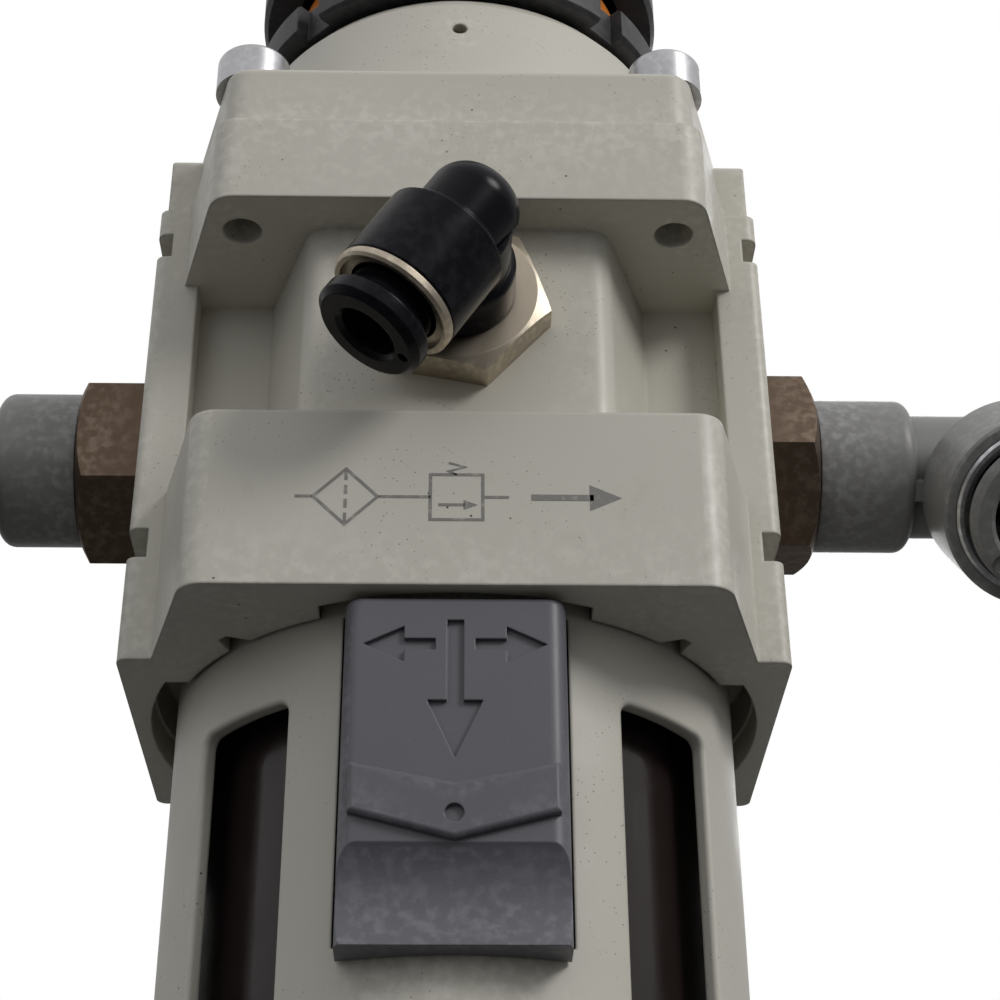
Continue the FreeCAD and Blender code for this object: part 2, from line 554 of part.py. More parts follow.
def make_knob():
    body = new_body("knob")
    lip = "knob_radius + skirt_lip"
    recess = "knob_top - cap_recess"
    turned(body, [("0", "knob_ceiling"), ("skirt_inside", "knob_ceiling"), ("skirt_inside", "knob_bottom"),
                  ("knob_radius", "knob_bottom"), (lip, "knob_bottom + 1"), (lip, "knob_bottom + 4"),
                  ("knob_radius", "knob_bottom + 5"), ("knob_radius", "knob_top - 2.5"),
                  ("knob_radius - 2.5", "knob_top"), ("cap_radius + 0.2", "knob_top"),
                  ("cap_radius + 0.2", recess), ("0", recess)])
    for inside, outside in (("0", "knob_hub"), ("clutch_inside", "clutch_outside")):
        turned(body, [(inside, "hub_tip"), (outside, "hub_tip"), (outside, "knob_ceiling + 1"),
                      (inside, "knob_ceiling + 1")])
    half_step = 180.0 / TOOTH_COUNT
    tooth = rectangle(new_sketch(body, "XY_Plane", "hub_tip - tooth_height", turn=half_step), "tooth_from",
                      "-tooth_half_width - 0.1", "tooth_to", "tooth_half_width + 0.1")
    around(body, pad(body, tooth, "tooth_height + tooth_root"), TOOTH_COUNT)
    flute = circle(new_sketch(body, "XY_Plane", "knob_bottom + 6.5"), "flute_radius",
                   across="knob_radius + 0.35")
    around(body, pocket(body, flute, "knob_top - knob_bottom - 10.5", reverse=True), FLUTE_COUNT)
    drive = hexagon(new_sketch(body, "XY_Plane", "hub_tip - 0.7"), "drive_half_flats + 0.15")
    pocket(body, drive, "drive_socket", reverse=True)


def make_adjuster():
    body = new_body("adjusting_screw")
    neck = "screw_radius - 0.02"
    turned(body, [("0", "screw_bottom"), ("screw_radius - 0.7", "screw_bottom"),
                  ("screw_radius", "screw_bottom + 0.7"), ("screw_radius", "screw_flange_from"),
                  ("screw_flange", "screw_flange_from"), ("screw_flange", "screw_flange_to"),
                  (neck, "screw_flange_to"), (neck, "drive_from"), ("0", "drive_from")])
    drive = hexagon(new_sketch(body, "XY_Plane", "drive_from - 1"), "drive_half_flats")
    pad(body, drive, "drive_top - drive_from + 1")
    collar("thrust_washer", "screw_radius + 0.3", "washer_radius", "screw_flange_to + 0.1", "washer_to")
    collar("unlocked_marker_ring", "neck_radius", "neck_radius + marker_thickness", "marker_from",
           "marker_to")
    simple_turned("knob_cap", [("0", "knob_top - cap_recess"), ("cap_radius", "knob_top - cap_recess"),
                               ("cap_radius", "knob_top - 0.4"), ("cap_radius - 0.6", "knob_top"),
                               ("0", "knob_top")])
    nut = new_body("spring_seat_nut")
    bore = "screw_radius + screw_clearance"
    turned(nut, [(bore, "seat_nut_from"), ("seat_nut_hub", "seat_nut_from"),
                 ("seat_nut_hub", "seat_nut_step"),
                 ("seat_nut_radius", "seat_nut_step"), ("seat_nut_radius", "seat_nut_to"),
                 (bore, "seat_nut_to")])
    ear = rectangle(new_sketch(nut, "XY_Plane", "seat_nut_step"), "seat_nut_radius - 1",
                    "-seat_ear_half_width",
                    "seat_ear_reach", "seat_ear_half_width")
    around(nut, pad(nut, ear, "seat_nut_to - seat_nut_step"), 2)


def make_diaphragm_stack():
    rim = "diaphragm_recess - 0.2"
    simple_turned("diaphragm", [("0", "diaphragm_seat"), ("clamp_radius + 0.6", "diaphragm_seat"),
                                ("clamp_radius + 1.6", "diaphragm_seat + 1.6"),
                                ("clamp_radius + 3.6", "diaphragm_seat + 2.2"),
                                ("clamp_radius + 5.3", "diaphragm_seat + 1.4"),
                                ("clamp_radius + 6.2", "diaphragm_seat"), (rim, "diaphragm_seat"),
                                (rim, "body_top"),
                                ("clamp_radius + 6.6", "body_top"), ("clamp_radius + 5.6", "body_top + 1.3"),
                                ("clamp_radius + 3.6", "body_top + 2.2"),
                                ("clamp_radius + 1.2", "body_top + 1.5"),
                                ("clamp_radius + 0.6", "body_top"), ("0", "body_top")])
    simple_turned("upper_diaphragm_plate", [("0", "body_top"), ("clamp_radius", "body_top"),
                                            ("clamp_radius", "plate_top"), ("plate_hub", "plate_top"),
                                            ("plate_hub", "plate_hub_top"), ("0", "plate_hub_top")])
    simple_turned("lower_diaphragm_plate", [("0", "lower_hub_bottom"), ("plate_stud", "lower_hub_bottom"),
                                            ("plate_stud", "lower_plate_bottom"),
                                            ("plate_radius", "lower_plate_bottom"),
                                            ("plate_radius", "diaphragm_seat"), ("0", "diaphragm_seat")])
    coil("regulating_spring", REGULATING_SPRING, [(0, 0, DRIVING["plate_top"])])


def make_valve():
    simple_turned("valve_stem", [("0", "poppet_top"), ("stem_radius", "poppet_top"),
                                 ("stem_radius", "stem_top - 0.5"), ("stem_radius - 0.5", "stem_top"),
                                 ("0", "stem_top")])
    simple_turned("valve_poppet", [("0", "spigot_bottom"), ("spigot_radius", "spigot_bottom"),
                                   ("spigot_radius", "poppet_back"), ("poppet_radius", "poppet_back"),
                                   ("poppet_radius", "poppet_top"), ("0", "poppet_top")])
    collar("valve_seal", "stem_radius + 0.05", "poppet_radius", "poppet_top", "seal_top")
    coil("valve_spring", VALVE_SPRING, [(0, 0, DRIVING["guide_top"])])
    guide = new_body("valve_guide")
    bore = "spigot_radius + 0.08"
    turned(guide, [("post_radius + 0.07", "guide_bottom"), ("guide_radius", "guide_bottom"),
                   ("guide_radius", "hub_bottom"), ("guide_plug", "hub_bottom"),
                   ("guide_plug", "hub_bottom + 1.4"),
                   ("guide_plug - 1.15", "hub_bottom + 1.4"), ("guide_plug - 1.15", "hub_bottom + 2.6"),
                   ("guide_plug", "hub_bottom + 2.6"), ("guide_plug", "guide_top"), (bore, "guide_top"),
                   (bore, "guide_top - 5.5"), ("0", "guide_top - 5.5"), ("0", "post_top + 0.2"),
                   ("post_radius + 0.07", "post_top + 0.2")])
    holes = circle(new_sketch(guide, "XY_Plane", "guide_bottom - 1"), "guide_hole",
                   across="guide_hole_across")
    around(guide, pocket(guide, holes, "guide_top - guide_bottom + 2", reverse=True), GUIDE_HOLE_COUNT)
    ring_of_rubber("valve_guide_o_ring", "guide_plug - 0.58", "guide_o_ring", DRIVING["hub_bottom"] + 2.0)
    deflector = new_body("swirl_deflector")
    inside = "hub_radius + 0.05"
    turned(deflector, [(inside, "deflector_bottom"), ("deflector_radius", "deflector_bottom"),
                       ("deflector_radius", "deflector_top"), (inside, "deflector_top")])
    vane = outline(new_sketch(deflector, "YZ_Plane", "deflector_radius - 1"),
                   [("-vane_sweep", "deflector_bottom + 0.5"),
                    ("vane_thickness - vane_sweep", "deflector_bottom + 0.5"),
                    ("vane_sweep", "deflector_top - 0.5"),
                    ("vane_sweep - vane_thickness", "deflector_top - 0.5")])
    around(deflector, pad(deflector, vane, "vane_reach - deflector_radius + 1"), VANE_COUNT)


def make_filter():
    collar("filter_element", "filter_inside", "filter_outside", "filter_bottom", "guide_bottom")
    simple_turned("element_retainer", [("0", "filter_bottom - 6"), ("retainer_tip", "filter_bottom - 6"),
                                       ("retainer_tip + 2", "filter_bottom - 2.5"),
                                       ("filter_outside + 1", "filter_bottom - 2.5"),
                                       ("baffle_radius - 1.2", "baffle_bottom"),
                                       ("baffle_radius", "baffle_bottom"),
                                       ("filter_outside + 2", "filter_bottom"),
                                       ("post_radius", "filter_bottom"),
                                       ("post_radius", "post_top"), ("0", "post_top")])


# ---------------------------------------------------------------- bowl assembly
def make_bowl():
    bowl = new_body("bowl")
    turned(bowl, [("bowl_outlet", "bowl_bottom"), ("bowl_dish_low", "bowl_bottom + 0.5"),
                  ("bowl_dish_middle", "bowl_bottom + 4"), ("bowl_dish_high", "bowl_bottom + 10"),
                  ("bowl_radius", "bowl_wall_bottom"), ("bowl_radius", "bowl_shoulder"),
                  ("bowl_flange", "bowl_shoulder"), ("bowl_flange", "bowl_shoulder + 2.5"),
                  ("bowl_spigot", "bowl_shoulder + 2.5"), ("bowl_spigot", "bowl_top - 4.9"),
                  ("bowl_spigot - 1.4", "bowl_top - 4.9"), ("bowl_spigot - 1.4", "bowl_top - 2.9"),
                  ("bowl_spigot", "bowl_top - 2.9"), ("bowl_spigot", "bowl_top - 0.6"),
                  ("bowl_spigot - 0.6", "bowl_top"), ("bowl_inside", "bowl_top"),
                  ("bowl_inside", "bowl_wall_bottom + 0.5"), ("bowl_dish_high - 2.2", "bowl_bottom + 11.5"),
                  ("bowl_dish_middle - 1.5", "bowl_bottom + 6.4"),
                  ("bowl_dish_low - 0.5", "bowl_bottom + 3.4"),
                  ("bowl_outlet", "bowl_bottom + 3")])
    bottom = DRIVING["bowl_bottom"]
    dish = DRIVING["bowl_dish_high"]
    round_edges(bowl, "bowl_dish_round", lambda edge, at: level_circle(edge, dish, bottom + 10)
                or level_circle(edge, dish - 2.2, bottom + 11.5))
    ring_of_rubber("bowl_o_ring", "bowl_spigot - 0.46", "bowl_seal", DRIVING["bowl_top"] - 3.9)


def make_guard():
    guard = new_body("bowl_guard")
    turned(guard, [("drain_hole", "guard_bottom"), ("guard_dish_low", "guard_bottom + 0.5"),
                   ("guard_dish_middle", "guard_bottom + 4.5"), ("guard_dish_high", "guard_bottom + 12"),
                   ("guard_radius", "guard_wall_bottom"),
                   ("guard_radius", "guard_top - 0.6"), ("guard_radius - 0.6", "guard_top"),
                   ("guard_inside", "guard_top"), ("guard_inside", "bowl_shoulder"),
                   ("guard_lip", "bowl_shoulder - 0.4"), ("guard_lip", "bowl_shoulder - 0.9"),
                   ("guard_inside", "bowl_shoulder - 2.5"), ("guard_inside", "guard_wall_bottom"),
                   ("guard_dish_high - 2.2", "guard_bottom + 13.5"),
                   ("guard_dish_middle - 1.5", "guard_bottom + 6.9"),
                   ("guard_dish_low - 1", "guard_bottom + 2.9"),
                   ("drain_hole", "guard_bottom + 2.5")])
    bottom = DRIVING["guard_bottom"]
    round_edges(guard, "guard_dish_round",
                lambda edge, at: level_circle(edge, DRIVING["guard_dish_middle"], bottom + 4.5)
                or level_circle(edge, DRIVING["guard_dish_high"], bottom + 12))
    lug = sector(new_sketch(guard, "XY_Plane", "lug_bottom", turn=45.0), "lug_root", "lug_radius",
                 "lug_half_width")
    around(guard, pad(guard, lug, "lug_top - lug_bottom"), 4)
    pocket(guard, circle(new_sketch(guard, "XY_Plane", "bowl_shoulder"), "guard_inside"),
           "lug_top - bowl_shoulder + 0.8", reverse=True)
    for turn in (1, -1):
        for facing in (0.0, 180.0):
            angle = facing + turn * DRIVING["window_angle"]
            window = rectangle(new_sketch(guard, "XZ_Plane", "window_from", turn=angle), "-window_half_width",
                               "window_bottom", "window_half_width", "window_top")
            pocket(guard, window, "window_length", reverse=True)
    round_edges(guard, "window_corner", is_window_corner)
    round_edges(guard, "window_rim", is_window_rim)
    slot = rectangle(new_sketch(guard, "XZ_Plane", "button_root"), "-button_half_width - button_gap",
                     "button_bottom - button_travel - 0.6", "button_half_width + button_gap",
                     "button_top + 0.5")
    pocket(guard, slot, "guard_radius", reverse=True)
    return guard


def is_window_corner(edge, at):
    heights = (DRIVING["window_top"], DRIVING["window_bottom"])
    return isinstance(edge.Curve, Part.Line) and any(abs(at.z - z) < NEAR for z in heights) \
        and abs(edge.tangentAt(edge.FirstParameter).z) < NEAR


def is_window_rim(edge, at):
    """The outline of each window on the guard's outer surface."""
    low, high = DRIVING["window_bottom"] - 0.1, DRIVING["window_top"] + 0.1
    points = [vertex.Point for vertex in edge.Vertexes] + [at]
    return all(low < p.z < high and is_at(math.hypot(p.x, p.y), "guard_radius") for p in points)


def arrow(drawing, tip, base, half_head, half_shaft, tail, height=None):
    """An arrow along the sketch's second axis, or along its first axis at the given height."""
    points = [(tip, 0), (base, half_head), (base, half_shaft), (tail, half_shaft), (tail, -half_shaft),
              (base, -half_shaft), (base, -half_head)]
    if height is None:
        return outline(drawing, [(str(side), str(along)) for along, side in points])
    return outline(drawing, [(str(along), str(side + height)) for along, side in points])


def make_button():
    button = new_body("lock_button")
    half = "button_half_width"
    block = rectangle(new_sketch(button, "XY_Plane", "apron_bottom"), f"-{half}", "-button_face", half,
                      "-button_root")
    pad(button, block, "button_top - apron_bottom")
    round_edges(button, "button_corner", lambda edge, at: upright(edge) and is_at(-at.y, "button_face"))
    round_edges(button, "button_edge", lambda edge, at: is_at(at.z, "button_top")
                and not is_at(-at.y, "button_root"))
    lip = sector(new_sketch(button, "XY_Plane", "button_bottom + 1", turn=-90.0), "button_root",
                 "guard_inside - lip_clearance", "lip_half_width")
    pad(button, lip, "lip_length")
    bore = circle(new_sketch(button, "XY_Plane", "apron_bottom - 1"), "button_back")
    pocket(button, bore, "button_top - apron_bottom + 5", reverse=True)
    apron = circle(new_sketch(button, "XY_Plane", "apron_bottom - 1"), "guard_radius + button_gap")
    pocket(button, apron, "button_bottom - apron_bottom + 1", reverse=True)
    scoop = circle(new_sketch(button, "YZ_Plane", "-scoop_half_length"), "scoop_radius",
                   across="-button_face - scoop_behind", up="scoop_height")
    pocket(button, scoop, "2 * scoop_half_length", reverse=True)
    thumb_pad = outline(new_sketch(button, "XZ_Plane", "button_face - pad_sunk"),
                        [("-pad_half", "pad_side_top"), ("0", "pad_tip_top"), ("pad_half", "pad_side_top"),
                         ("pad_half", "pad_side_bottom"), ("0", "pad_tip_bottom"),
                         ("-pad_half", "pad_side_bottom")])
    pad(button, thumb_pad, "pad_height + pad_sunk")
    pad_face = DRIVING["button_face"] + DRIVING["pad_height"]
    round_edges(button, "pad_edge", lambda edge, at: abs(at.y + pad_face) < NEAR)
    dimple = circle(new_sketch(button, "XZ_Plane", "button_face + pad_height"), "dimple_radius",
                    up="dimple_height")
    pocket(button, dimple, "mark_depth")
    marks = new_sketch(button, "XZ_Plane", "button_face")
    arrow(marks, *DOWN_ARROW)
    tip, base, half_head, half_shaft, tail = SIDE_ARROW
    for side in (-1, 1):
        arrow(marks, side * tip, side * base, half_head, half_shaft, side * tail, height=SIDE_ARROW_HEIGHT)
    pocket(button, marks, "mark_depth")
    holes = new_sketch(button, "XY_Plane", "button_bottom")
    for side in (-1, 1):
        circle(holes, "spring_hole", f"{side} * spring_across", "spring_along")
    pocket(button, holes, "spring_hole_depth", reverse=True)
    foot = DRIVING["button_bottom"] - DRIVING["button_travel"] - 0.55
    across, along = DRIVING["spring_across"], DRIVING["spring_along"]
    coil("lock_button_springs", BUTTON_SPRING, [(-across, along, foot), (across, along, foot)])


def make_drain():
    simple_turned("drain_body", [("drain_bore", "drain_foot"), ("drain_radius - 0.4", "drain_foot"),
                                 ("drain_radius", "drain_foot + 0.4"), ("drain_radius", "drain_ledge"),
                                 ("drain_neck", "drain_ledge"), ("drain_neck", "bowl_bottom + 3.1"),
                                 ("drain_collar", "bowl_bottom + 3.5"), ("drain_collar", "drain_top"),
                                 ("drain_bore", "drain_top")])
    cock = new_body("drain_cock")
    turned(cock, [("cock_duct", "cock_tip"), ("cock_spout - 0.5", "cock_tip"),
                  ("cock_spout", "cock_tip + 0.8"),
                  ("cock_spout - 0.8", "cock_wing_from"), ("cock_radius - 0.8", "cock_wing_from"),
                  ("cock_radius", "cock_wing_from + 0.8"), ("cock_radius", "cock_wing_to"),
                  ("cock_stem", "cock_wing_to"), ("cock_stem", "cock_wing_to + 2.3"),
                  ("cock_stem - 0.6", "cock_wing_to + 2.3"), ("cock_stem - 0.6", "cock_wing_to + 3.7"),
                  ("cock_stem", "cock_wing_to + 3.7"), ("cock_stem", "cock_top"), ("cock_duct", "cock_top")])
    flute = circle(new_sketch(cock, "XY_Plane", "cock_wing_from - 0.5"), "cock_flute",
                   across="cock_radius + 0.7")
    around(cock, pocket(cock, flute, "cock_wing_to - cock_wing_from + 1.2", reverse=True), COCK_FLUTE_COUNT)
    ring_of_rubber("drain_o_ring", "cock_stem - 0.28", "cock_seal", DRIVING["cock_wing_to"] + 3.0)


def make_rear_plug():
    """A socket-head plug in the rear gauge port, turned about its own +Z, which points backwards."""
    place = Placement(Vector(DRIVING["gauge_across"], DRIVING["boss_face"], DRIVING["gauge_height"]),
                      Rotation(Vector(1, 0, 0), -90))
    plug = new_body("rear_gauge_plug", place)
    thread = "gauge_bore - 0.05"
    turned(plug, [("0", "-plug_length"), (thread, "-plug_length"), (thread, "-0.3"),
                  ("gauge_bore - 0.4", "0"),
                  ("0", "0")])
    pocket(plug, hexagon(new_sketch(plug, "XY_Plane", "0"), "plug_half_flats"), "plug_socket")


# ---------------------------------------------------------------- push-in elbows
# Each elbow is drawn with its stud along +Z, rising from the port face, and its tube along +X.
def own(kind, *points):
    """The points with each of this elbow's own size names written as the sheet has them."""
    def named(found):
        name = found.group(0)
        return f"{kind}_{name}" if name in ELBOWS[kind] else name
    return [tuple(re.sub(r"[a-z][a-z_]*[a-z]", named, text) for text in point) for point in points]


def own_size(kind, text):
    return own(kind, (text,))[0][0]


def make_stud(kind, place, hex_turn):
    part = ELBOWS[kind]
    stud = new_body(f"{kind}_stud", place)
    pad(stud, hexagon(new_sketch(stud, "XY_Plane", turn=hex_turn), own_size(kind, "half_flats")),
        own_size(kind, "hex_height"))
    reach = part["half_flats"] / math.cos(math.pi / 6) + 1
    drop = (reach + 0.3 - part["half_flats"]) * CHAMFER_SLOPE
    turned_cut(stud, own(kind, ("half_flats - 0.3", "hex_height"), (str(reach), "hex_height"),
                         (str(reach), f"hex_height - {drop}")))
    turned(stud, own(kind, ("0", "-thread_length"), ("thread", "-thread_length"), ("thread", "0.5"),
                     ("0", "0.5")))
    turned(stud, own(kind, ("0", "0"), ("barrel", "0"), ("barrel", "barrel_top"), ("0", "barrel_top")))
    bore = circle(new_sketch(stud, "XY_Plane", own_size(kind, "-thread_length - 1")), own_size(kind, "bore"))
    pocket(stud, bore, own_size(kind, "thread_length + barrel_top + 2"), reverse=True)


def make_elbow_body(kind, place):
    part = ELBOWS[kind]
    elbow = new_body(f"{kind}_elbow", place)
    shell = own_size(kind, "neck - shell_step")
    shell_radius = part["neck"] - SHELL_STEP
    height = own_size(kind, "axis_height")
    lying = {"axis": "H_Axis", "role": "XY_Plane", "offset": height}
    turned(elbow, own(kind, ("back", "0"), ("back", shell), ("socket_to - 1", shell), ("socket_to - 1", "0")),
           **lying)
    round_edges(elbow, own_size(kind, "back_round"), lambda edge, at: isinstance(edge.Curve, Part.Circle)
                and abs(edge.Curve.Radius - shell_radius) < NEAR and abs(edge.Curve.Center.x - part["back"]) < NEAR)
    turned(elbow, own(kind, ("socket_from", "0"), ("socket_from", "socket - 1"),
                      ("socket_from + 1", "socket"),
                      ("socket_to - 0.3", "socket"), ("socket_to", "socket - 0.3"), ("socket_to", "0")),
                      **lying)
    shoulder = [("leg - shoulder * %.4f" % (1 - math.cos(angle)),
                 "leg_to - shoulder * %.4f" % (1 - math.sin(angle)))
                for angle in (math.radians(15 * step) for step in range(6))]
    turned(elbow, own(kind, ("0", "leg_from"), ("leg", "leg_from"), *shoulder, ("leg - shoulder", "leg_to"),
                      ("neck", "leg_to + 0.05"), ("neck", "axis_height"), ("0", "axis_height")))
    rib = rectangle(new_sketch(elbow, "XY_Plane", own_size(kind, "leg_to - rib_length / 2")),
                    *own(kind, ("neck - 1", "-rib_half_width", "leg - 0.5", "rib_half_width"))[0])
    pad(elbow, rib, own_size(kind, "rib_length"))
    pocket(elbow, circle(new_sketch(elbow, "XY_Plane", "1"), own_size(kind, "barrel + 0.06")),
           own_size(kind, "barrel_top - 0.6"), reverse=True)
    pocket(elbow, circle(new_sketch(elbow, "XY_Plane", "1"), own_size(kind, "bore")),
           own_size(kind, "axis_height - 0.7"), reverse=True)
    duct = "bore - 0.4"
    seat = "ring + 0.02"
    turned_cut(elbow, own(kind, ("0", "0"), ("0", duct), ("cavity_from", duct), ("cavity_from", "cavity"),
                          ("ring_from", "cavity"), ("ring_from", seat), ("ring_from + 6", seat),
                          ("ring_from + 6", "0")), **lying)


def make_tube_grip(kind, place):
    """The rings and the release collar inside the socket, each turned about the tube's line."""
    along = place.multiply(Placement(Vector(0, 0, ELBOWS[kind]["axis_height"]),
                                     Rotation(Vector(0, 1, 0), 90)))
    bore = "neck_of_collar + 0.35"
    fit = "cavity - 0.02"
    simple_turned(f"{kind}_guide_ring", own(
        kind, (bore, "ring_from - 2.2"), (fit, "ring_from - 2.2"), (fit, "ring_from"), ("ring", "ring_from"),
        ("ring", "ring_to - 0.3"), ("ring - 0.3", "ring_to"), ("ring - ring_lip", "ring_to"),
        ("ring - ring_lip", "ring_from + 0.35"), (bore, "ring_from + 0.35")), along)
    release = new_body(f"{kind}_release_collar", along)
    turned(release, own(
        kind, ("tube", "ring_from - 2.6"), ("neck_of_collar", "ring_from - 2.6"), ("neck_of_collar",
                                                                                   "flange_from"),
        ("flange - 0.4", "flange_from"), ("flange", "flange_from + 0.5"), ("flange", "flange_to - 0.7"),
        ("flange - 0.7", "flange_to"), ("tube + 0.5", "flange_to"), ("tube", "flange_to - 0.5")))
    angle = math.radians(ELBOWS[kind]["dimple_turn"])
    ring_middle = "(tube + 0.5 + flange - 0.7) / 2"
    dimple = circle(new_sketch(release, "XY_Plane", own_size(kind, "flange_to")), own_size(kind, "dimple"),
                    across=own_size(kind, f"{ring_middle} * {math.cos(angle):.6f}"),
                    up=own_size(kind, f"{ring_middle} * {math.sin(angle):.6f}"))
    pocket(release, dimple, "dimple_depth")
    inside = "tube + 0.1"
    outside = "cavity - 0.05"
    low = "cavity_from + 0.2"
    simple_turned(f"{kind}_tube_seal", own(kind, (inside, low), (outside, low), (outside, f"{low} + 1.6"),
                                           (inside, f"{low} + 1.6")), along)
    simple_turned(f"{kind}_grip_ring", own(
        kind, (inside, f"{low} + 2.8"), ("cavity - 0.6", f"{low} + 1.8"), (outside, f"{low} + 1.8"),
        (outside, f"{low} + 2.8"), (inside, f"{low} + 3.1")), along)


def make_elbow(kind, place, hex_turn):
    make_stud(kind, place, hex_turn)
    make_elbow_body(kind, place)
    make_tube_grip(kind, place)


def frame_of(base, tube_way, stud_way):
    """The placement that sends local +Z along the stud and local +X along the tube."""
    return Placement(Vector(*base), Rotation(Vector(*tube_way), Vector(0, 0, 0), Vector(*stud_way), "ZXY"))


TUBE_DOWN = math.radians(43)
FRONT_TUBE = math.radians(33)
port_tube_way = (0, -math.cos(TUBE_DOWN), -math.sin(TUBE_DOWN))
front_tube_way = (-math.sin(FRONT_TUBE), 0, -math.cos(FRONT_TUBE))
front_port = (DRIVING["gauge_across"], -DRIVING["boss_face"], DRIVING["gauge_height"])

make_body()
make_bonnet()
make_bonnet_screws()
make_panel_nut()
make_knob()
make_adjuster()
make_diaphragm_stack()
make_valve()
make_filter()
make_bowl()
make_guard()
make_button()
make_drain()
make_rear_plug()
make_elbow("inlet", frame_of((-DRIVING["body_half_width"], 0, 0), port_tube_way, (-1, 0, 0)), 8.7)
make_elbow("outlet", frame_of((DRIVING["body_half_width"], 0, 0), port_tube_way, (1, 0, 0)), 30.0)
make_elbow("front", frame_of(front_port, front_tube_way, (0, -1, 0)), -8.0)

# ---------------------------------------------------------------- check and export
document.recompute()
for thing in document.Objects:
    if "Invalid" in thing.State or "Error" in thing.State:
        raise RuntimeError(f"{thing.Label} failed: {thing.State}")
for piece in sub_parts:
    if piece.Shape.isNull() or not piece.Shape.isValid():
        raise RuntimeError(f"{piece.Label} has no valid shape")

os.makedirs("parts", exist_ok=True)
for piece in sub_parts:
    piece.Shape.exportStep(f"parts/{piece.Label}.step")
    print(f"{piece.Label}: {piece.Shape.Volume:.0f} mm3, {len(piece.Shape.Solids)} solid(s)")
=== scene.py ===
import math

import bpy
from mathutils import Matrix, Vector


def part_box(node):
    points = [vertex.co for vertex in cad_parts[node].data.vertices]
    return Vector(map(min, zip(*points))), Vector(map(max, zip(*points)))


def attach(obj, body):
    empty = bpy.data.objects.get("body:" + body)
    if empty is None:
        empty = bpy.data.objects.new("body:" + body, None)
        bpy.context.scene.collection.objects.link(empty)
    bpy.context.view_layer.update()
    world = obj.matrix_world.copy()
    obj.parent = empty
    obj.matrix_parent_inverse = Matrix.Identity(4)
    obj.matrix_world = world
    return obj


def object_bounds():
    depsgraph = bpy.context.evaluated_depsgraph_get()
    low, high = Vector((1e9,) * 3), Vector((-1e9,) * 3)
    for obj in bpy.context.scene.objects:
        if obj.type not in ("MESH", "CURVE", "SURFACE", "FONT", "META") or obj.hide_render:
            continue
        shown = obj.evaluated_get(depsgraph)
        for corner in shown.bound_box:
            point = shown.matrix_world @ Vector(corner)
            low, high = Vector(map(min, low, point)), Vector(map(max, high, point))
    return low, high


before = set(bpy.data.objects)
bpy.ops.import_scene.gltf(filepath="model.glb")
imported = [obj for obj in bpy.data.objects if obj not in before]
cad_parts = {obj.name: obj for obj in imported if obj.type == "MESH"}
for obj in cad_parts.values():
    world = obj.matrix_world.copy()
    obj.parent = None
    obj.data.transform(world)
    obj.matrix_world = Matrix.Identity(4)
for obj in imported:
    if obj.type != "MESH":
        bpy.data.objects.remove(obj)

MM = 0.001
CAD_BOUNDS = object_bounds()
FLOOR_GAP = 4 * MM
FLOOR_REACH = 1.6
# strength of the world's light from below and from above
WORLD_BELOW = 0.085
WORLD_ABOVE = 0.70
# the lens below the front of the body: place, and turns in degrees
CAMERA_PLACE = (-0.0001, -0.21096, -0.13205)
CAMERA_PITCH = 31.33
CAMERA_YAW = 1.43
CAMERA_ROLL = -0.33
INK_LIFT = 0.03 * MM
PRINT_HEIGHT = -24.6 * MM
# the symbols' own sizes, in millimetres
LINE = 0.32
FILTER_ACROSS = -11.0
FILTER_HALF = 3.2
SQUARE_HALF = 2.6
MARKER_THICKNESS = 0.7 * MM
THREAD_DEPTH = 0.4 * MM
THREAD_PITCH = 1.5 * MM
THREAD_END_GAP = 0.9 * MM
THREAD_STEPS = 64
THREAD_FADE = 12
ARROW_RADIUS = 10.5 * MM
ARROW_HALF = 0.9 * MM
ARROW_DEPTH = 0.25 * MM
ARROW_SUNK = 0.02 * MM
ARROW_STEPS = 40


# ---------------------------------------------------------------- camera, stage and light
def make_camera():
    """A 75 mm lens below the front of the body, looking up at it."""
    pitch, yaw, roll = (math.radians(turn) for turn in (CAMERA_PITCH, CAMERA_YAW, CAMERA_ROLL))
    ahead = Vector((math.sin(yaw) * math.cos(pitch), math.cos(yaw) * math.cos(pitch), math.sin(pitch)))
    level = Vector((math.cos(yaw), -math.sin(yaw), 0.0))
    upward = level.cross(ahead)
    right = math.cos(roll) * level + math.sin(roll) * upward
    up = -math.sin(roll) * level + math.cos(roll) * upward
    data = bpy.data.cameras.new("camera")
    data.lens = 75.0
    data.sensor_width = 36.0
    data.clip_start = 0.01
    data.clip_end = 20.0
    camera = bpy.data.objects.new("camera", data)
    turn = Matrix((right, up, -ahead)).transposed().to_4x4()
    camera.matrix_world = Matrix.Translation(CAMERA_PLACE) @ turn
    bpy.context.scene.collection.objects.link(camera)
    bpy.context.scene.camera = camera


def add_light(name, place, target, size, power, colour):
    data = bpy.data.lights.new(name, "AREA")
    data.shape = "DISK"
    data.size = size
    data.energy = power
    data.color = colour
    light = bpy.data.objects.new(name, data)
    light.location = place
    light.rotation_euler = (Vector(target) - Vector(place)).to_track_quat("-Z", "Y").to_euler()
    bpy.context.scene.collection.objects.link(light)


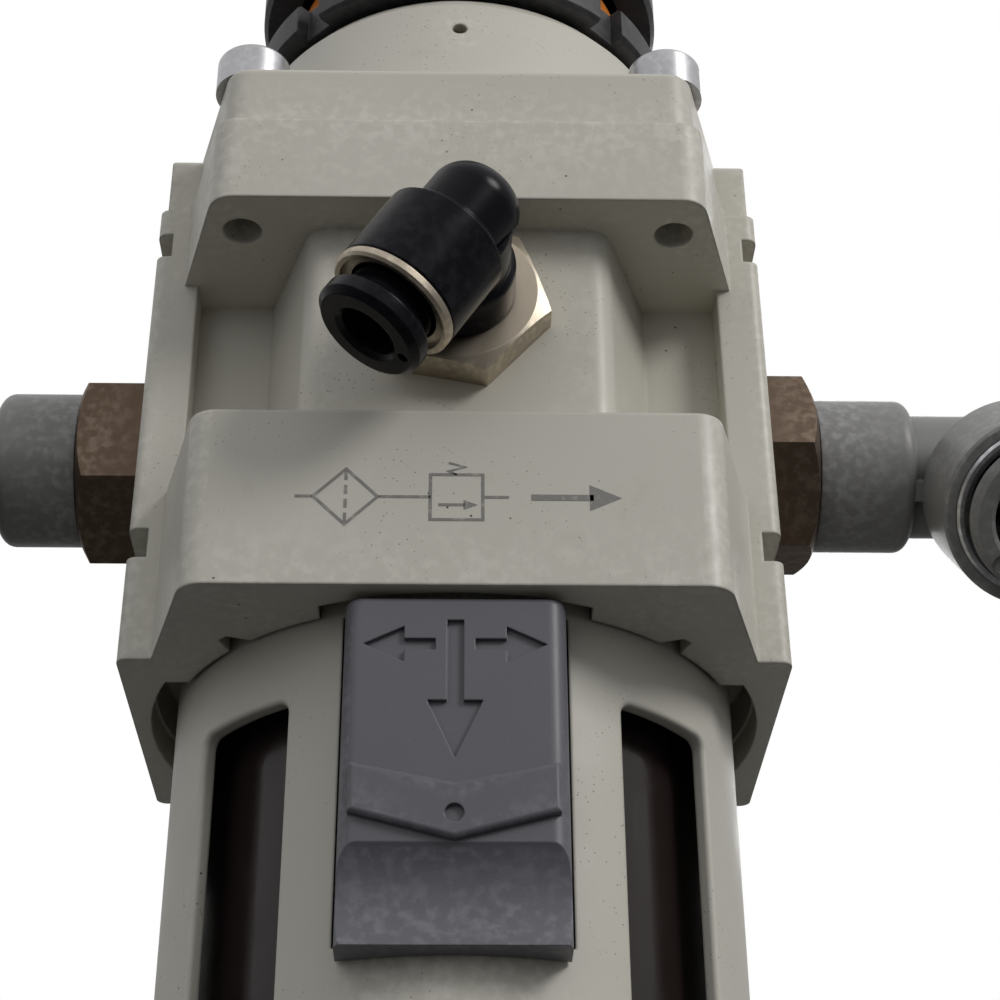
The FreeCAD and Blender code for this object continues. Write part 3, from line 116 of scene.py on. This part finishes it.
def make_world():
    """A white studio: light from above, dim from below, and always white to the camera."""
    world = bpy.data.worlds.new("studio")
    world.use_nodes = True
    tree = world.node_tree
    place = tree.nodes.new("ShaderNodeTexCoord")
    parts = tree.nodes.new("ShaderNodeSeparateXYZ")
    tree.links.new(place.outputs["Generated"], parts.inputs["Vector"])
    rise = tree.nodes.new("ShaderNodeMapRange")
    for key, value in (("From Min", -0.25), ("From Max", 0.75),
                       ("To Min", WORLD_BELOW), ("To Max", WORLD_ABOVE)):
        rise.inputs[key].default_value = value
    tree.links.new(parts.outputs["Z"], rise.inputs["Value"])
    ray = tree.nodes.new("ShaderNodeLightPath")
    strength = tree.nodes.new("ShaderNodeMix")
    tree.links.new(ray.outputs["Is Camera Ray"], strength.inputs["Factor"])
    tree.links.new(rise.outputs["Result"], strength.inputs["A"])
    strength.inputs["B"].default_value = 1.0
    tree.links.new(strength.outputs["Result"], tree.nodes["Background"].inputs["Strength"])
    tree.nodes["Background"].inputs["Color"].default_value = (1.0, 1.0, 1.0, 1.0)
    bpy.context.scene.world = world


def make_stage():
    floor_height = CAD_BOUNDS[0][2] - FLOOR_GAP
    mesh = bpy.data.meshes.new("floor")
    corners = [(across * FLOOR_REACH, along * FLOOR_REACH, floor_height)
               for across, along in ((-1, -1), (1, -1), (1, 1), (-1, 1))]
    mesh.from_pydata(corners, [], [(0, 1, 2, 3)])
    floor = bpy.data.objects.new("floor", mesh)
    bpy.context.scene.collection.objects.link(floor)
    floor.data.materials.append(plain_floor())
    floor.visible_diffuse = False
    floor.visible_glossy = False
    make_world()
    bpy.context.scene.view_settings.view_transform = "Standard"
    add_light("key", (0.52, -0.50, 0.40), (0, 0, 0), 0.30, 2.7, (1.0, 0.985, 0.97))
    add_light("front_fill", (-0.35, -0.70, 0.12), (0, 0, -0.02), 0.5, 0.40, (0.97, 0.98, 1.0))
    add_light("back_rim", (0.2, 0.6, 0.4), (0, 0, 0), 0.4, 1.6, (1.0, 1.0, 1.0))


# ---------------------------------------------------------------- materials
class Surface:
    """A principled material built up from noise for colour, roughness and bump."""

    def __init__(self, name, colour, roughness, metallic=0.0, **sockets):
        self.material = bpy.data.materials.new(name)
        self.material.use_nodes = True
        self.tree = self.material.node_tree
        self.shader = self.tree.nodes["Principled BSDF"]
        self.colour = (*colour, 1.0)
        self.shader.inputs["Base Color"].default_value = self.colour
        self.shader.inputs["Roughness"].default_value = roughness
        self.shader.inputs["Metallic"].default_value = metallic
        for socket, value in sockets.items():
            self.shader.inputs[socket.replace("_", " ")].default_value = value
        self.place = self.tree.nodes.new("ShaderNodeTexCoord").outputs["Object"]
        self.colour_out = None
        self.bump_out = None

    def node(self, kind, **values):
        made = self.tree.nodes.new(kind)
        for key, value in values.items():
            if key in made.inputs.keys():
                made.inputs[key].default_value = value
            else:
                setattr(made, key, value)
        return made

    def link(self, out, into):
        self.tree.links.new(out, into)

    def noise(self, scale, detail=2.0, roughness=0.5, stretch=(1, 1, 1)):
        place = self.node("ShaderNodeMapping")
        place.inputs["Scale"].default_value = stretch
        self.link(self.place, place.inputs["Vector"])
        made = self.node("ShaderNodeTexNoise", Scale=scale, Detail=detail, Roughness=roughness)
        self.link(place.outputs["Vector"], made.inputs["Vector"])
        return made.outputs["Fac"]

    def cells(self, scale):
        made = self.node("ShaderNodeTexVoronoi", Scale=scale)
        self.link(self.place, made.inputs["Vector"])
        return made.outputs["Distance"]

    def ramp(self, source, low, high, start=0.0, end=1.0):
        """Map source from low..high to start..end, clamped."""
        made = self.node("ShaderNodeMapRange")
        for key, value in (("From Min", low), ("From Max", high), ("To Min", start), ("To Max", end)):
            made.inputs[key].default_value = value
        self.link(source, made.inputs["Value"])
        return made.outputs["Result"]

    def times(self, one, other):
        made = self.node("ShaderNodeMath", operation="MULTIPLY")
        self.link(one, made.inputs[0])
        if isinstance(other, (int, float)):
            made.inputs[1].default_value = other
        else:
            self.link(other, made.inputs[1])
        return made.outputs[0]

    def tint(self, mask, colour):
        """Mix a colour over what is there, where the mask is high."""
        mix = self.node("ShaderNodeMix", data_type="RGBA")
        under, over = (socket for socket in mix.inputs if socket.type == "RGBA")
        self.link(mask, mix.inputs["Factor"])
        if self.colour_out is None:
            under.default_value = self.colour
        else:
            self.link(self.colour_out, under)
        over.default_value = (*colour, 1.0)
        self.colour_out = next(socket for socket in mix.outputs if socket.type == "RGBA")
        self.link(self.colour_out, self.shader.inputs["Base Color"])

    def rough(self, source, low, high):
        self.link(self.ramp(source, 0.3, 0.7, low, high), self.shader.inputs["Roughness"])

    def bump(self, height, depth_mm, strength=1.0):
        made = self.node("ShaderNodeBump", Strength=strength, Distance=depth_mm * MM)
        self.link(height, made.inputs["Height"])
        if self.bump_out is not None:
            self.link(self.bump_out, made.inputs["Normal"])
        self.bump_out = made.outputs["Normal"]
        self.link(self.bump_out, self.shader.inputs["Normal"])

    def soft_edges(self, radius_mm):
        made = self.node("ShaderNodeBevel", samples=6, Radius=radius_mm * MM)
        self.bump_out = made.outputs["Normal"]
        self.link(self.bump_out, self.shader.inputs["Normal"])

    def painted_shade_and_grime(self, reach_mm, start):
        """Painted shade and grime: high where the surface is closed in by its neighbours, broken up by noise.
        """
        shade = self.node("ShaderNodeAmbientOcclusion", samples=4, Distance=reach_mm * MM)
        closed = self.ramp(shade.outputs["AO"], start, 0.05)
        return self.times(closed, self.ramp(self.noise(180, 4.0, 0.7), 0.3, 0.62, 0.35, 1.0))

    def edge_wear(self, threshold=0.53):
        """High on convex edges, as the mesh's own corner points give them, broken up by noise."""
        geometry = self.node("ShaderNodeNewGeometry")
        edge = self.ramp(geometry.outputs["Pointiness"], threshold, threshold + 0.06)
        return self.times(edge, self.ramp(self.noise(900, 3.0), 0.45, 0.65))


def plain_floor():
    made = Surface("pale_floor", (0.86, 0.86, 0.85), 0.6)
    made.tint(made.ramp(made.noise(3.0), 0.3, 0.7), (0.84, 0.84, 0.84))
    return made.material


def ivory_paint():
    """Stoved paint: cloudy soiling, grime and painted shade in corners, dark specks and worn edges."""
    made = Surface("ivory_paint", (0.590, 0.572, 0.508), 0.42, Specular_IOR_Level=0.4)
    made.tint(made.ramp(made.noise(28, 3.0), 0.35, 0.7, 0.0, 0.5), (0.555, 0.535, 0.465))
    made.tint(made.ramp(made.noise(150, 6.0, 0.75), 0.60, 0.78, 0.0, 0.35), (0.42, 0.39, 0.31))
    # painted shade with grime: the paint turns dark olive where corners close in (ambient occlusion)
    made.tint(made.painted_shade_and_grime(4.0, 0.55), (0.30, 0.27, 0.20))
    fine = made.times(made.ramp(made.cells(1500), 0.15, 0.05), made.ramp(made.noise(90, 3.0), 0.50, 0.62))
    made.tint(fine, (0.10, 0.085, 0.065))
    coarse = made.times(made.ramp(made.cells(520), 0.085, 0.045), made.ramp(made.noise(60, 2.0), 0.55, 0.62))
    made.tint(coarse, (0.05, 0.045, 0.035))
    made.tint(made.times(made.edge_wear(0.54), 0.7), (0.70, 0.68, 0.61))
    made.rough(made.noise(130, 3.0), 0.34, 0.50)
    made.soft_edges(0.5)
    made.bump(made.noise(1500, 3.0, 0.6), 0.012, 0.5)
    made.bump(made.noise(240, 2.0), 0.03, 0.3)
    return made.material


def moulded(name, colour, roughness, grain_mm=0.012, dust=0.35, edge=1.5, **sockets):
    """Moulded plastic: faint mottling, grime and painted shade in corners, specks of dust and paler edges."""
    made = Surface(name, colour, roughness, **sockets)
    made.tint(made.ramp(made.noise(60, 4.0), 0.35, 0.7, 0.0, 0.45), tuple(c * 0.82 for c in colour))
    # painted shade with grime: a darker copy of the plastic's colour where corners close in (ambient
    # occlusion)
    made.tint(made.times(made.painted_shade_and_grime(2.5, 0.6), 0.8), tuple(c * 0.45 for c in colour))
    specks = made.times(made.ramp(made.cells(1300), 0.14, 0.05), made.ramp(made.noise(110, 3.0), 0.5, 0.64))
    made.tint(made.times(specks, dust), tuple(min(1.0, c * 1.7 + 0.05) for c in colour))
    made.tint(made.times(made.edge_wear(0.53), 0.7), tuple(min(1.0, c * edge + 0.012) for c in colour))
    made.rough(made.noise(200, 4.0), roughness - 0.02, roughness + 0.03)
    made.soft_edges(0.25)
    made.bump(made.noise(2600, 2.0), grain_mm, 0.6)
    made.bump(made.noise(180, 2.0), 0.012, 0.15)
    return made.material


def machined(name, colour, roughness, stain=0.6):
    """Turned or milled metal: stains, grime and painted shade in hollows, pits, brighter edges and fine tool
    lines.
    """
    made = Surface(name, colour, roughness, metallic=1.0)
    made.tint(made.ramp(made.noise(70, 5.0, 0.6), 0.35, 0.75, 0.0, 0.35), tuple(c * stain for c in colour))
    # painted shade with grime: a darker copy of the metal's colour in hollows (ambient occlusion)
    made.tint(made.times(made.painted_shade_and_grime(2.0, 0.7), 0.8), tuple(c * 0.3 for c in colour))
    pits = made.times(made.ramp(made.cells(1500), 0.14, 0.05), made.ramp(made.noise(100, 3.0), 0.5, 0.62))
    made.tint(pits, tuple(c * 0.3 for c in colour))
    made.tint(made.edge_wear(0.52), tuple(min(1.0, c * 1.3 + 0.03) for c in colour))
    made.rough(made.noise(300, 4.0), roughness - 0.03, roughness + 0.05)
    made.soft_edges(0.12)
    made.bump(made.noise(900, 4.0, 0.6, (1.0, 0.12, 1.0)), 0.01, 0.4)
    return made.material


def rubber():
    made = Surface("rubber", (0.018, 0.018, 0.018), 0.62)
    made.tint(made.ramp(made.noise(300, 3.0), 0.45, 0.7, 0.0, 0.5), (0.035, 0.034, 0.033))
    made.bump(made.noise(1500, 3.0), 0.02, 0.5)
    return made.material


def smoky_bowl():
    """Brown-grey polycarbonate, clouded along its height."""
    made = Surface("smoky_bowl", (0.060, 0.042, 0.040), 0.14, Transmission_Weight=0.55, IOR=1.5)
    clouds = made.noise(70, 3.0, 0.5, (1.0, 1.0, 0.25))
    made.tint(made.ramp(clouds, 0.35, 0.7, 0.0, 0.8), (0.030, 0.020, 0.018))
    streaks = made.noise(700, 4.0, 0.6, (1.0, 1.0, 0.1))
    made.tint(made.ramp(streaks, 0.62, 0.75, 0.0, 0.35), (0.13, 0.11, 0.11))
    made.rough(made.noise(250, 4.0), 0.12, 0.28)
    made.bump(made.noise(120, 2.0), 0.03, 0.25)
    return made.material


def sintered():
    made = Surface("filter_media", (0.80, 0.78, 0.72), 0.85, Subsurface_Weight=0.1)
    made.tint(made.ramp(made.cells(1800), 0.3, 0.05), (0.42, 0.40, 0.35))
    made.bump(made.cells(1800), 0.12, 0.8)
    return made.material


def printed_ink():
    made = Surface("printed_ink", (0.22, 0.215, 0.20), 0.5)
    made.tint(made.ramp(made.noise(1200, 3.0), 0.52, 0.68, 0.0, 0.6), (0.40, 0.385, 0.34))
    made.tint(made.ramp(made.cells(1900), 0.12, 0.05), (0.55, 0.53, 0.46))
    made.bump(made.noise(2400, 2.0), 0.004, 0.4)
    return made.material


GREY_BUTTON = (0.128, 0.127, 0.146)
DARK = (0.035, 0.035, 0.039)
FITTING_GREY = (0.23, 0.23, 0.225)
FITTING_BLACK = (0.005, 0.005, 0.008)


def finishes():
    """Each finish and the CAD nodes that wear it."""
    return [
        (ivory_paint(), ["body", "bonnet", "bowl_guard"]),
        (moulded("button_plastic", GREY_BUTTON, 0.42), ["lock_button"]),
        (moulded("dark_plastic", DARK, 0.46, 0.02),
         ["knob", "panel_nut", "drain_body", "drain_cock", "swirl_deflector", "spring_seat_nut",
          "valve_guide", "element_retainer"]),
        (moulded("cap_plastic", (0.42, 0.42, 0.41), 0.4), ["knob_cap"]),
        (moulded("marker_plastic", (0.75, 0.22, 0.03), 0.4), ["unlocked_marker_ring"]),
        (moulded("fitting_grey", FITTING_GREY, 0.38),
         ["inlet_elbow", "outlet_elbow", "inlet_release_collar", "outlet_release_collar"]),
        (moulded("fitting_black", FITTING_BLACK, 0.24, 0.006, dust=0.12, edge=2.0, Specular_IOR_Level=0.14),
         ["front_elbow", "front_release_collar"]),
        (machined("nickel_plate", (0.52, 0.455, 0.365), 0.40, stain=0.72),
         ["front_stud", "front_guide_ring"]),
        (machined("bronzed_brass", (0.165, 0.118, 0.085), 0.50), ["inlet_stud", "outlet_stud"]),
        (machined("turned_brass", (0.72, 0.52, 0.22), 0.3), ["valve_stem", "valve_poppet"]),
        (machined("zinc_steel", (0.55, 0.55, 0.57), 0.32),
         ["bonnet_screws", "adjusting_screw", "thrust_washer", "regulating_spring", "valve_spring",
          "lock_button_springs", "upper_diaphragm_plate", "lower_diaphragm_plate", "rear_gauge_plug",
          "inlet_guide_ring", "outlet_guide_ring", "inlet_grip_ring", "outlet_grip_ring", "front_grip_ring"]),
        (rubber(), ["diaphragm", "valve_seal", "valve_guide_o_ring", "bowl_o_ring", "drain_o_ring",
                    "inlet_tube_seal", "outlet_tube_seal", "front_tube_seal"]),
        (smoky_bowl(), ["bowl"]),
        (sintered(), ["filter_element"]),
    ]


def paint_nodes():
    for finish, nodes in finishes():
        for node in nodes:
            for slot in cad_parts[node].material_slots:
                slot.material = finish


# ---------------------------------------------------------------- added pieces
def piece_from(name, vertices, faces, body, finish):
    mesh = bpy.data.meshes.new(name)
    mesh.from_pydata(vertices, [], faces)
    mesh.update()
    piece = bpy.data.objects.new(name, mesh)
    bpy.context.scene.collection.objects.link(piece)
    piece.data.materials.append(finish)
    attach(piece, body)
    return piece


def stroke(points, width, closed=False):
    """A flat band along a line of 2-D points, with mitred corners: pairs of edge points and their quads."""
    count = len(points)
    pairs = []
    for k, point in enumerate(points):
        here = Vector(point)
        before = Vector(points[k - 1]) if k > 0 or closed else None
        after = Vector(points[(k + 1) % count]) if k < count - 1 or closed else None
        ways = [(b - a).normalized() for a, b in ((before, here), (here, after))
                if a is not None and b is not None]
        normals = [Vector((-way.y, way.x)) for way in ways]
        mitre = (normals[0] + normals[-1]).normalized()
        reach = width / 2 / max(0.35, mitre.dot(normals[0]))
        pairs.append((here + mitre * reach, here - mitre * reach))
    last = count if closed else count - 1
    quads = [(2 * k, 2 * k + 1, 2 * ((k + 1) % count) + 1, 2 * ((k + 1) % count)) for k in range(last)]
    return [p for pair in pairs for p in pair], quads


def triangle(tip, back, half):
    """A filled arrow head from its tip to the middle of its back."""
    way = (Vector(tip) - Vector(back)).normalized()
    side = Vector((-way.y, way.x)) * half
    return [Vector(tip), Vector(back) + side, Vector(back) - side], [(0, 1, 2)]


def symbol_shapes():
    """Generic pneumatic symbols, in millimetres about their own centre: filter, regulator, flow arrow."""
    half = FILTER_HALF
    filter_corners = [(FILTER_ACROSS - half, 0), (FILTER_ACROSS, half), (FILTER_ACROSS + half, 0),
                      (FILTER_ACROSS, -half)]
    shapes = [stroke(filter_corners, LINE, True)]
    for step in range(4):
        low = -2.9 + 1.6 * step
        shapes.append(stroke([(FILTER_ACROSS, low), (FILTER_ACROSS, low + 1.0)], LINE))
    shapes.append(stroke([(FILTER_ACROSS - 5.0, 0), (FILTER_ACROSS - 3.3, 0)], LINE))
    shapes.append(stroke([(FILTER_ACROSS + 3.3, 0), (FILTER_ACROSS + 8.4, 0)], LINE))
    half = SQUARE_HALF
    shapes.append(stroke([(-half, -half), (half, -half), (half, half), (-half, half)], LINE, True))
    shapes.append(stroke([(-1.8, -0.9), (0.8, -0.9)], LINE))
    shapes.append(triangle((2.1, -0.9), (0.7, -0.9), 0.55))
    shapes.append(stroke([(0, half), (-0.8, 3.0), (0.8, 3.5), (-0.8, 4.0)], 0.24))
    shapes.append(stroke([(2.8, 0), (5.2, 0)], LINE))
    shapes.append(stroke([(7.4, 0), (13.6, 0)], 0.7))
    shapes.append(triangle((16.4, 0), (13.2, 0), 1.5))
    return shapes


def print_symbols(ink):
    """Thin ink on the front face of the lower block, in the place of the photo's printing."""
    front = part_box("body")[0].y - INK_LIFT
    vertices, faces = [], []
    for points, polygons in symbol_shapes():
        first = len(vertices)
        vertices += [(point.x * MM, front, PRINT_HEIGHT + point.y * MM) for point in points]
        faces += [tuple(first + k for k in polygon) for polygon in polygons]
    return piece_from("printed_symbols", vertices, faces, "housing", ink)


def neck_thread(finish):
    """A helical ridge with a 60 degree section between the panel nut and the marker, faded at both ends."""
    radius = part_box("unlocked_marker_ring")[1].x - MARKER_THICKNESS
    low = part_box("panel_nut")[1].z + THREAD_END_GAP
    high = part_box("unlocked_marker_ring")[0].z - THREAD_END_GAP
    count = int((high - low) / THREAD_PITCH * THREAD_STEPS)
    foot, half = -0.02 * MM, 0.42 * THREAD_PITCH
    vertices, faces = [], []
    for k in range(count + 1):
        angle = 2 * math.pi * k / THREAD_STEPS
        height = low + THREAD_PITCH * k / THREAD_STEPS
        fade = min(1.0, k / THREAD_FADE, (count - k) / THREAD_FADE)
        for reach, rise in ((foot, -half * fade), (THREAD_DEPTH * fade, 0.0), (foot, half * fade)):
            out = radius + reach
            vertices.append((out * math.cos(angle), out * math.sin(angle), height + rise))
        if k:
            base = 3 * (k - 1)
            faces += [(base, base + 3, base + 4, base + 1), (base + 1, base + 4, base + 5, base + 2)]
    return piece_from("neck_thread", vertices, faces, "housing", finish)


def turn_arrow(finish):
    """A curved arrow let into the knob cap, just under its top, so that it stays inside the CAD's box."""
    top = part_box("knob_cap")[1].z - ARROW_SUNK
    levels = (top - ARROW_DEPTH, top)
    start, sweep = math.radians(-60), math.radians(250)
    vertices, faces = [], []
    for k in range(ARROW_STEPS + 1):
        angle = start + sweep * k / ARROW_STEPS
        for reach in (ARROW_RADIUS - ARROW_HALF, ARROW_RADIUS + ARROW_HALF):
            for height in levels:
                vertices.append((reach * math.cos(angle), reach * math.sin(angle), height))
    for k in range(ARROW_STEPS):
        a = 4 * k
        b = a + 4
        faces += [(a + 1, a + 3, b + 3, b + 1), (a, b, b + 1, a + 1), (a + 2, a + 3, b + 3, b + 2)]
    faces.append((0, 1, 3, 2))
    first = len(vertices)
    end = start + sweep
    barb = 2.2 * ARROW_HALF
    for reach, angle in ((ARROW_RADIUS - barb, end), (ARROW_RADIUS + barb, end),
                         (ARROW_RADIUS, end + math.radians(16))):
        for height in levels:
            vertices.append((reach * math.cos(angle), reach * math.sin(angle), height))
    faces += [(first + 1, first + 3, first + 5), (first, first + 1, first + 5, first + 4),
              (first + 2, first + 4, first + 5, first + 3), (first, first + 2, first + 3, first + 1)]
    return piece_from("knob_turn_arrow", vertices, faces, "knob", finish)


make_camera()
make_stage()
paint_nodes()
print_symbols(printed_ink())
neck_thread(bpy.data.materials["ivory_paint"])
turn_arrow(bpy.data.materials["dark_plastic"])
